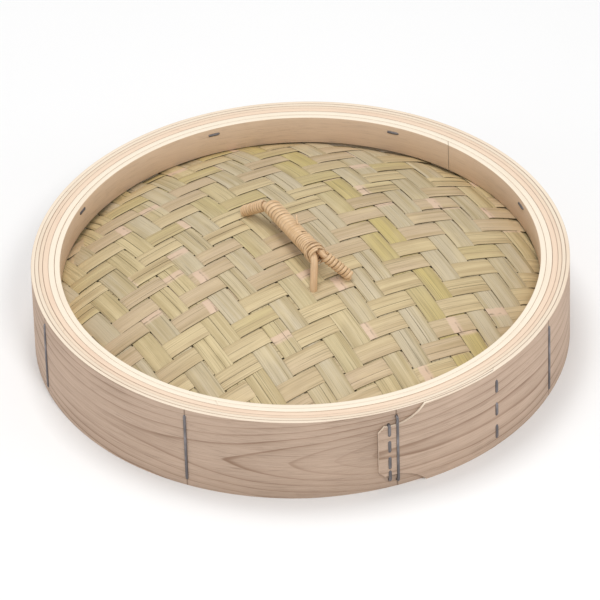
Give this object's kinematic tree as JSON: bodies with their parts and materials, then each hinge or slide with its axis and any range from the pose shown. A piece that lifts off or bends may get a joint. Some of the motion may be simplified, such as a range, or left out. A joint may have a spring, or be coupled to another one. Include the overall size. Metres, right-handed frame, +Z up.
{
  "type": "steamer lid",
  "caption": "Domed lid of a large bamboo steamer: bent-board hoop, clamping rings, woven twill top and a wrapped cane handle.",
  "frame": {"origin": "on the floor plane, under the centre of the hoop", "axes": "+Z up along the hoop's axis, -Y towards the front, where the board laps"},
  "size_m": [0.4199, 0.42, 0.1132],
  "materials": {
    "outer_wood": "sawn, pale brown-pink, dull",
    "board_wood": "sawn, cream",
    "band_wood": "sawn, pinkish",
    "ring_wood": "sawn, cream",
    "woven_bamboo": "split bamboo, khaki, slight sheen",
    "lining_bamboo": "split bamboo, dull",
    "steel_wire": "drawn wire, dull grey",
    "cane": "natural cane, semi-gloss",
    "split_rattan": "split rattan, semi-gloss",
    "bamboo_batten": "split bamboo, dull"
  },
  "bodies": {
    "root": {"outer_board": "outer_wood", "middle_board": "board_wood", "inner_board": "board_wood", "upper_ring_outer_ply": "band_wood", "upper_ring_middle_ply": "ring_wood", "upper_ring_inner_ply": "ring_wood", "lower_ring_outer_ply": "band_wood", "lower_ring_middle_ply": "ring_wood", "lower_ring_inner_ply": "ring_wood", "woven_cover": "woven_bamboo", "lining_mat": "lining_bamboo", "wall_staples": "steel_wire", "lap_stitch": "steel_wire", "tongue_stitch": "steel_wire", "left_handle_cane": "cane", "right_handle_cane": "cane", "grip_filler_cane": "cane", "grip_wrapping": "split_rattan", "far_leg_wrapping": "split_rattan", "near_leg_wrapping": "split_rattan", "end_binding": "split_rattan", "near_batten": "bamboo_batten", "far_batten": "bamboo_batten", "near_batten_lashings": "split_rattan", "far_batten_lashings": "split_rattan"}
  },
  "joints": []
}
